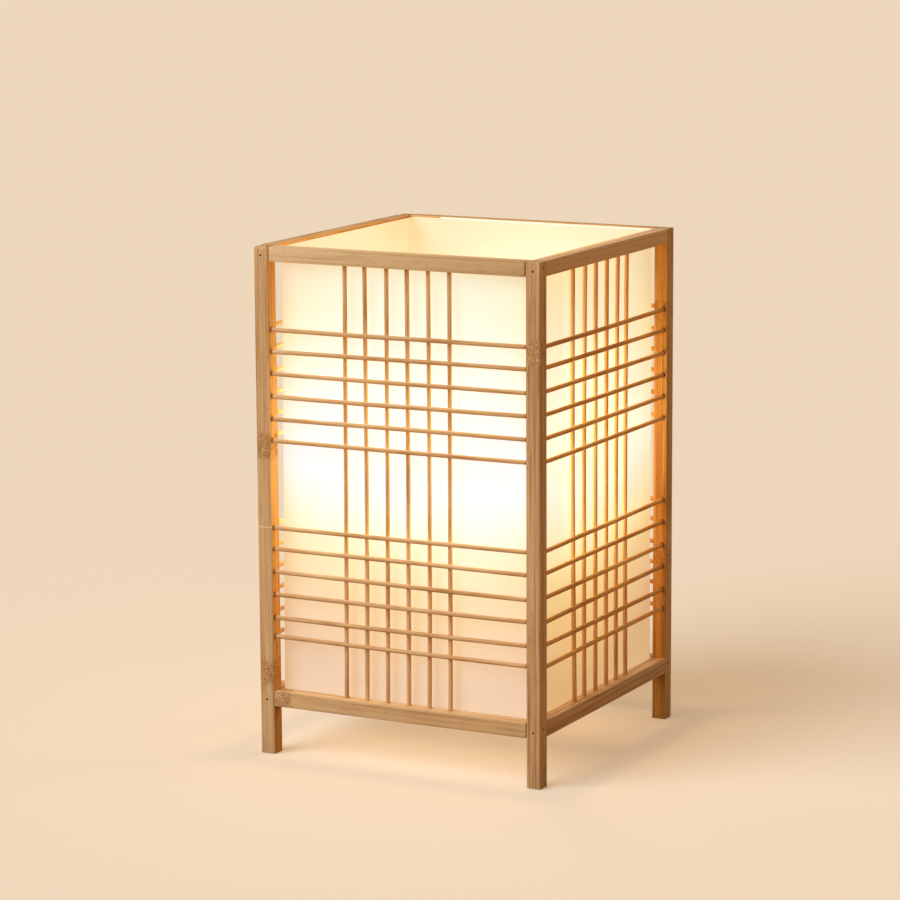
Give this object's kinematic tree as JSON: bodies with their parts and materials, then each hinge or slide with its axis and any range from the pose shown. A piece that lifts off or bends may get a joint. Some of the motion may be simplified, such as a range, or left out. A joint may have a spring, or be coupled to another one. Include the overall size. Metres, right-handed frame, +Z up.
{
  "type": "bamboo table lamp",
  "caption": "Square bamboo lantern lamp: a frame of posts and rails with a stick lattice over a folded paper shade, lit by a screw-in bulb on a cross-bar.",
  "frame": {"origin": "middle of the footprint, at the height of the surface that the posts stand on", "axes": "+Z up along the posts, -Y toward the front side, +X to the right seen from the front"},
  "size_m": [0.22, 0.22, 0.362],
  "materials": {
    "bamboo": "planed and sanded, unvarnished",
    "bamboo_stick": "sanded round stick",
    "shade_paper": "matte translucent laminate",
    "steel": "zinc plated",
    "brass": "plain",
    "holder_plastic": "moulded",
    "contact_ceramic": "unglazed",
    "cap_metal": "nickel plated",
    "cap_black": "glassy",
    "bulb_plastic": "smooth",
    "bulb_diffuser": "frosted and lit",
    "board": "white solder mask"
  },
  "bodies": {
    "lamp": {"post_front_left": "bamboo", "post_front_right": "bamboo", "post_back_right": "bamboo", "post_back_left": "bamboo", "top_rail_front": "bamboo", "top_rail_right": "bamboo", "top_rail_back": "bamboo", "top_rail_left": "bamboo", "bottom_rail_front": "bamboo", "bottom_rail_right": "bamboo", "bottom_rail_back": "bamboo", "bottom_rail_left": "bamboo", "uprights_front": "bamboo_stick", "uprights_right": "bamboo_stick", "uprights_back": "bamboo_stick", "uprights_left": "bamboo_stick", "upper_slats_front": "bamboo_stick", "upper_slats_right": "bamboo_stick", "upper_slats_back": "bamboo_stick", "upper_slats_left": "bamboo_stick", "lower_slats_front": "bamboo_stick", "lower_slats_right": "bamboo_stick", "lower_slats_back": "bamboo_stick", "lower_slats_left": "bamboo_stick", "rail_nails": "steel", "shade_sheet": "shade_paper", "cross_bar": "bamboo", "holder_tube": "steel", "lock_nut": "steel", "nut_washer": "steel", "holder_cup": "holder_plastic", "holder_shell": "holder_plastic", "contact_block": "contact_ceramic", "screw_sleeve": "brass", "centre_tongue": "brass"},
    "bulb_tip": {"bulb_contact": "cap_metal"},
    "bulb": {"cap_insulator": "cap_black", "bulb_cap": "cap_metal", "bulb_housing": "bulb_plastic", "light_board": "board", "bulb_dome": "bulb_diffuser"}
  },
  "joints": [
    {"name": "bulb_rise", "type": "slide", "parent": "lamp", "child": "bulb_tip", "axis": [0, 0, 1], "range_m": [0, 0.02]},
    {"name": "bulb_turn", "type": "hinge", "parent": "bulb_tip", "child": "bulb", "pos_m": [0, 0, 0.09], "axis": [0, 0, 1], "range_deg": [0, 1980]}
  ],
  "couplings": [
    {"joint": "bulb_rise", "follows": "bulb_turn", "m_per_rad": 0.00057757}
  ]
}
